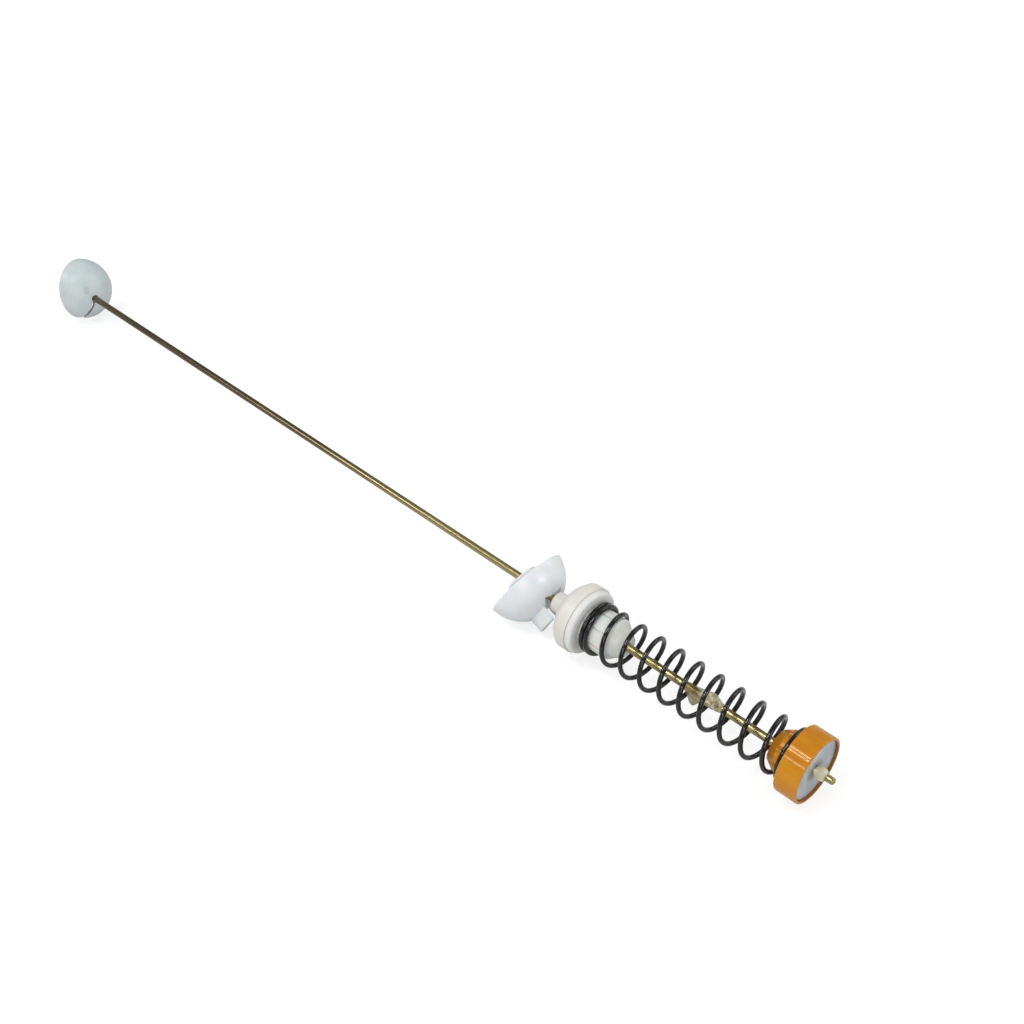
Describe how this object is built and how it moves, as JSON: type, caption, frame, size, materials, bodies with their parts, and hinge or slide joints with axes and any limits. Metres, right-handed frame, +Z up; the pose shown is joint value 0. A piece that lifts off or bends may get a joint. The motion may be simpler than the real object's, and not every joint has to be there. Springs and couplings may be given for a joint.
{
  "type": "washing machine suspension rod",
  "caption": "Suspension rod for a top-loading washing machine: hooked steel rod with a hanger ball, a sliding tub cup and a sprung friction damper.",
  "frame": {"origin": "on the surface it lies on, under the middle of the rod's length", "axes": "+X along the rod towards its spring end, +Z up from the surface it lies on"},
  "size_m": [0.7, 0.0492, 0.0468],
  "materials": {
    "passivated_steel": "yellow-passivated zinc, satin",
    "white_nylon": "moulded, semi-gloss, slightly translucent",
    "ivory_plastic": "moulded, satin",
    "felt": "greased felt",
    "black_spring_steel": "black coating, semi-gloss",
    "orange_plastic": "moulded, glossy",
    "zinc_steel": "zinc plated",
    "grease": "wet, translucent"
  },
  "bodies": {
    "hanger_rod": {"suspension_rod": "passivated_steel", "hanger_ball": "white_nylon", "lower_spring_seat": "orange_plastic", "end_washer": "zinc_steel", "coil_spring": "black_spring_steel", "grease": "grease"},
    "damper": {"upper_spring_seat": "ivory_plastic", "damper_cover": "ivory_plastic", "friction_ring": "felt"},
    "sliding_cup": {"tub_cup": "white_nylon"}
  },
  "joints": [
    {"name": "damper_slide", "type": "slide", "parent": "hanger_rod", "child": "damper", "axis": [1, 0, 0], "range_m": [0, 0.085], "stiffness_N_per_m": 2600, "deforming": ["coil_spring", "grease"]},
    {"name": "cup_slide", "type": "slide", "parent": "damper", "child": "sliding_cup", "axis": [1, 0, 0], "range_m": [-0.45, 0.0018]}
  ]
}
